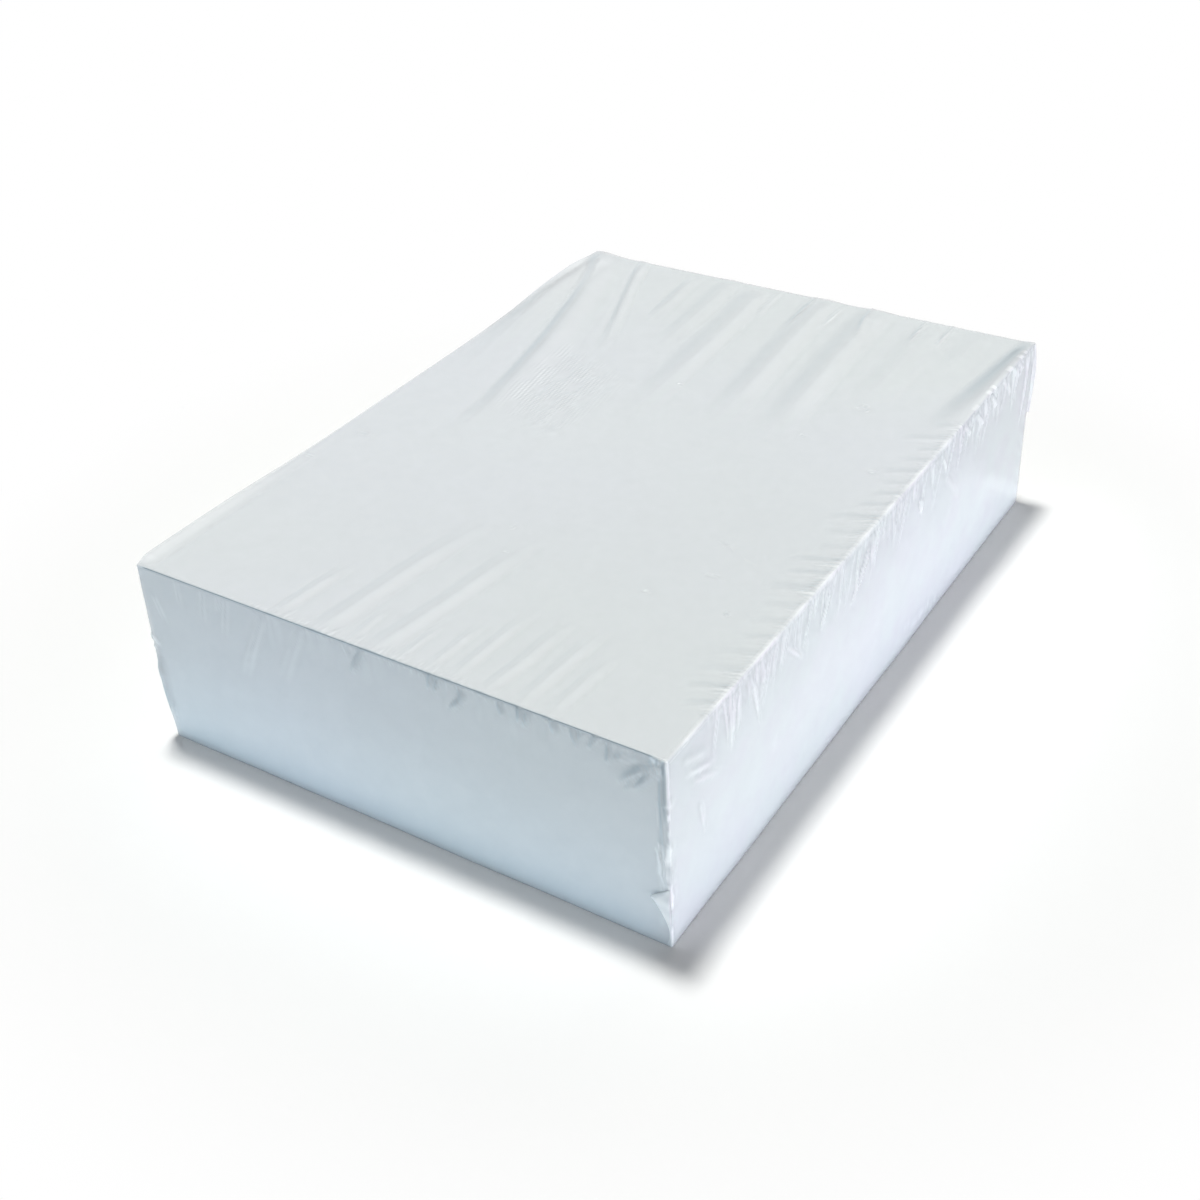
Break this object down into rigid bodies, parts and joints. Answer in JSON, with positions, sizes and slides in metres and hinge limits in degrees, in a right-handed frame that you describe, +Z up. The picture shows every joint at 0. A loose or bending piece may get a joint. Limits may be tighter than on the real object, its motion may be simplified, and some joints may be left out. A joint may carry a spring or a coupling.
{
  "type": "ream of paper",
  "caption": "Squared stack of plain white A5 sheets sealed in clear shrink film, with tension folds at both ends and puckers along one long edge.",
  "frame": {"origin": "middle of the sheets' underside, on the flat outer face of the film that the ream rests on", "axes": "+X along the sheets' short edge, +Y along their long edge from the near end to the far end, +Z up through the stack"},
  "size_m": [0.1525, 0.214, 0.055],
  "materials": {
    "paper": "matte white, with fine sheet edges on the four sides",
    "clear_film": "clear and glossy"
  },
  "bodies": {
    "root": {"paper_block": "paper", "shrink_film": "clear_film"}
  },
  "joints": []
}
